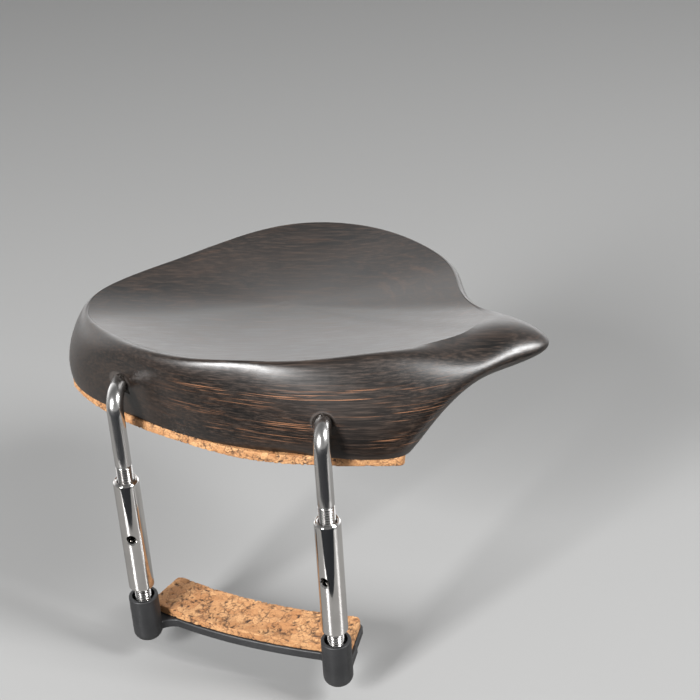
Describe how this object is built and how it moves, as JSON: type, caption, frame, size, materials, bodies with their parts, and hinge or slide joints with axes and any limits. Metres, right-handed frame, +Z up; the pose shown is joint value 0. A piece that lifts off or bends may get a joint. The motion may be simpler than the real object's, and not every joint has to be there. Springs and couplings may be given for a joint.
{
  "type": "violin chin rest",
  "caption": "Side-mounted violin chin rest: a hollowed ebony plate on cork, clamped to the violin's edge by two hooked rods, turnbuckle barrels and a corked lower bracket.",
  "frame": {"origin": "on the upper cork pad's bottom face, where the rest sits on the violin's top, between the two clamps", "axes": "+X to the right along the violin's bottom edge as the player's tailpiece side, +Y into the instrument towards the scroll, +Z up out of the violin's top"},
  "size_m": [0.0875, 0.0699, 0.0617],
  "materials": {
    "ebony": "oiled and hand-polished satin, fine brown streaks",
    "cork": "raw sheet cork with dark flecks",
    "rod_steel": "polished nickel-plated, fine threads",
    "barrel_steel": "polished nickel-plated, turned",
    "bracket_grey": "dark grey satin coat"
  },
  "bodies": {
    "upper_part": {"chin_plate": "ebony", "upper_cork_pad": "cork", "hook_rod_left": "rod_steel", "hook_rod_right": "rod_steel"},
    "lower_part": {"lower_bracket": "bracket_grey", "lower_cork_pad": "cork", "lower_stud_left": "rod_steel", "lower_stud_right": "rod_steel"},
    "left_turnbuckle": {"barrel_left": "barrel_steel"},
    "right_turnbuckle": {"barrel_right": "barrel_steel"}
  },
  "joints": [
    {"name": "clamp_travel", "type": "slide", "parent": "upper_part", "child": "lower_part", "axis": [0, 0, 1], "range_m": [-0.005, 0.003]},
    {"name": "left_barrel_turn", "type": "hinge", "parent": "lower_part", "child": "left_turnbuckle", "pos_m": [-0.01887, -0.00177, -0.02], "axis": [0, 0, 1], "range_deg": [-1800, 1080]},
    {"name": "right_barrel_turn", "type": "hinge", "parent": "lower_part", "child": "right_turnbuckle", "pos_m": [0.01793, -0.01392, -0.02], "axis": [0, 0, 1], "range_deg": [-1800, 1080]}
  ],
  "couplings": [
    {"joint": "left_barrel_turn", "follows": "clamp_travel", "rad_per_m": 6283.2},
    {"joint": "right_barrel_turn", "follows": "clamp_travel", "rad_per_m": 6283.2}
  ]
}
